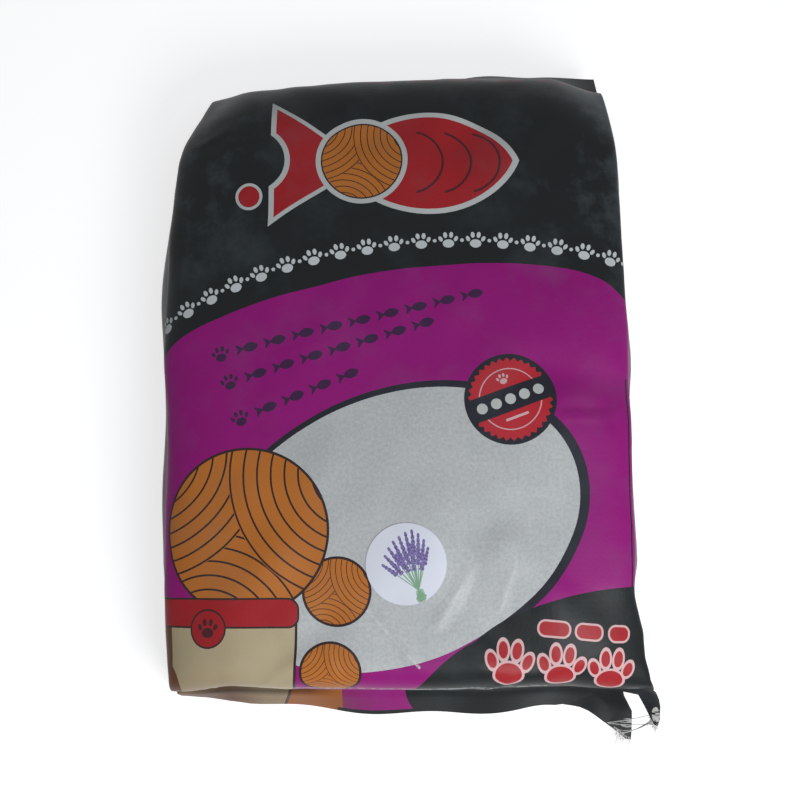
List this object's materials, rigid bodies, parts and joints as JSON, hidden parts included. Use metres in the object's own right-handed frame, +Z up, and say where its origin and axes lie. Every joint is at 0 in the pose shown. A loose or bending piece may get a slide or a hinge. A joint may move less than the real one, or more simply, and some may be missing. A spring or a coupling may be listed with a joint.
{
  "type": "cat litter bag",
  "caption": "Full side-gusset sack of cat litter lying on its back, with both ends sewn flat into hems, a torn corner and a round scent label.",
  "frame": {"origin": "middle of the sack's bounding box, on the floor that its back lies on", "axes": "+X across the sack to the right of the print, +Y along it towards the top of the print, +Z up, out of the printed front"},
  "size_m": [0.455, 0.6308, 0.1145],
  "materials": {
    "printed_film": "satin laminated film",
    "label_paper": "satin",
    "seam_thread": "matt twisted thread"
  },
  "bodies": {
    "root": {"sack": "printed_film", "scent_label": "label_paper", "bottom_seam_thread": "seam_thread", "top_seam_thread": "seam_thread"}
  },
  "joints": []
}
